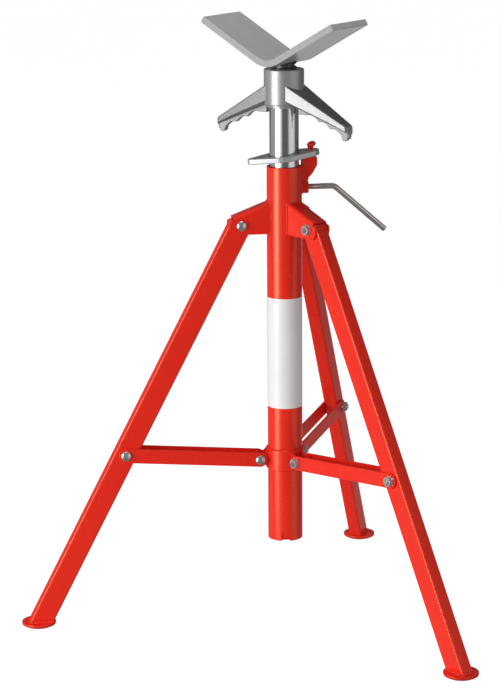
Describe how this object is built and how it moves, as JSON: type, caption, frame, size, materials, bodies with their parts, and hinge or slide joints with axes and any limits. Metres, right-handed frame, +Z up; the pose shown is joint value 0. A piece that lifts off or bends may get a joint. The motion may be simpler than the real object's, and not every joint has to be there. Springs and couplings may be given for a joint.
{
  "type": "pipe support stand",
  "caption": "Folding tripod stand with a sliding post, a screw jack nut with drooping arms and a swivelling V plate that cradles pipe at working height.",
  "frame": {"origin": "on the floor, at the middle of the box round the feet; the mast stands a quarter of the foot circle's radius along +X from it", "axes": "+Z up along the mast, +X from the origin towards the mast and the clamp side, opposite leg 1"},
  "size_m": [0.6034, 0.689, 0.8787],
  "materials": {
    "red_paint": "gloss enamel",
    "bright_plate": "bright plated",
    "zinc": "zinc plated",
    "cast_aluminium": "as cast, tumbled",
    "grey_steel": "matte grey",
    "dark_steel": "dark oiled",
    "bare_bar": "bare bar"
  },
  "bodies": {
    "mast": {"mast_tube": "red_paint", "latch_lug": "red_paint", "latch_peg": "red_paint", "clamp_boss": "red_paint", "leg_bracket_1": "red_paint", "leg_bracket_2": "red_paint", "leg_bracket_3": "red_paint", "leg_pivot_bolt_1": "zinc", "leg_pivot_bolt_2": "zinc", "leg_pivot_bolt_3": "zinc", "leg_pivot_nut_1": "zinc", "leg_pivot_nut_2": "zinc", "leg_pivot_nut_3": "zinc"},
    "leg_1": {"leg_1": "red_paint", "foot_1": "red_paint", "brace_pin_1": "zinc"},
    "leg_2": {"leg_2": "red_paint", "foot_2": "red_paint", "brace_pin_2": "zinc"},
    "leg_3": {"leg_3": "red_paint", "foot_3": "red_paint", "brace_pin_3": "zinc"},
    "collar": {"brace_collar": "red_paint", "collar_bolt_1": "zinc", "collar_bolt_2": "zinc", "collar_bolt_3": "zinc", "collar_nut_1": "zinc", "collar_nut_2": "zinc", "collar_nut_3": "zinc"},
    "brace_1": {"brace_1_head_side": "red_paint", "brace_1_tail_side": "red_paint", "brace_bolt_1": "zinc", "brace_nut_1": "zinc", "brace_tail_1": "zinc"},
    "brace_2": {"brace_2_head_side": "red_paint", "brace_2_tail_side": "red_paint", "brace_bolt_2": "zinc", "brace_nut_2": "zinc", "brace_tail_2": "zinc"},
    "brace_3": {"brace_3_head_side": "red_paint", "brace_3_tail_side": "red_paint", "brace_bolt_3": "zinc", "brace_nut_3": "zinc", "brace_tail_3": "zinc"},
    "post": {"inner_post": "bright_plate"},
    "swivel": {"thrust_washer": "zinc"},
    "jack_nut": {"jack_nut": "cast_aluminium"},
    "head": {"jack_screw": "dark_steel", "v_plate": "grey_steel"},
    "lock_ring": {"lock_ring": "bright_plate"},
    "clamp": {"clamp_screw": "bare_bar"}
  },
  "joints": [
    {"name": "leg_1_fold", "type": "hinge", "parent": "mast", "child": "leg_1", "pos_m": [0.02722, 0, 0.585], "axis": [0, -1, 0], "range_deg": [0, 25]},
    {"name": "leg_2_fold", "type": "hinge", "parent": "mast", "child": "leg_2", "pos_m": [0.12472, -0.05629, 0.585], "axis": [0.866, 0.5, 0], "range_deg": [0, 25]},
    {"name": "leg_3_fold", "type": "hinge", "parent": "mast", "child": "leg_3", "pos_m": [0.12472, 0.05629, 0.585], "axis": [-0.866, 0.5, 0], "range_deg": [0, 25]},
    {"name": "collar_slide", "type": "slide", "parent": "mast", "child": "collar", "axis": [0, 0, 1], "range_m": [0, 0.1703]},
    {"name": "brace_1_swing", "type": "hinge", "parent": "collar", "child": "brace_1", "pos_m": [0.05292, 0, 0.236], "axis": [0, -1, 0], "range_deg": [0, 83.1]},
    {"name": "brace_2_swing", "type": "hinge", "parent": "collar", "child": "brace_2", "pos_m": [0.11187, -0.03404, 0.236], "axis": [0.866, 0.5, 0], "range_deg": [0, 83.1]},
    {"name": "brace_3_swing", "type": "hinge", "parent": "collar", "child": "brace_3", "pos_m": [0.11187, 0.03404, 0.236], "axis": [-0.866, 0.5, 0], "range_deg": [0, 83.1]},
    {"name": "post_slide", "type": "slide", "parent": "mast", "child": "post", "axis": [0, 0, 1], "range_m": [-0.03, 0.39]},
    {"name": "head_swivel", "type": "hinge", "parent": "post", "child": "swivel", "pos_m": [0.09222, 0, 0.7685], "axis": [0, 0, 1], "continuous": true},
    {"name": "nut_turn", "type": "hinge", "parent": "swivel", "child": "jack_nut", "pos_m": [0.09222, 0, 0.7531], "axis": [0, 0, 1], "range_deg": [0, 4320]},
    {"name": "head_lift", "type": "slide", "parent": "swivel", "child": "head", "axis": [0, 0, 1], "range_m": [0, 0.0763]},
    {"name": "ring_lift", "type": "hinge", "parent": "mast", "child": "lock_ring", "pos_m": [0.13022, 0, 0.686], "axis": [0, 1, 0], "range_deg": [0, 7.8]},
    {"name": "clamp_turn", "type": "hinge", "parent": "mast", "child": "clamp", "pos_m": [0.12672, 0, 0.6365], "axis": [1, 0, 0], "range_deg": [0, 180]}
  ],
  "couplings": [
    {"joint": "leg_2_fold", "follows": "leg_1_fold", "ratio": 1},
    {"joint": "leg_3_fold", "follows": "leg_1_fold", "ratio": 1},
    {"joint": "collar_slide", "follows": "leg_1_fold", "m_per_rad": 0.38907},
    {"joint": "brace_1_swing", "follows": "leg_1_fold", "ratio": 3.3133},
    {"joint": "brace_2_swing", "follows": "leg_1_fold", "ratio": 3.3133},
    {"joint": "brace_3_swing", "follows": "leg_1_fold", "ratio": 3.3133},
    {"joint": "head_lift", "follows": "nut_turn", "m_per_rad": 0.0010106}
  ]
}
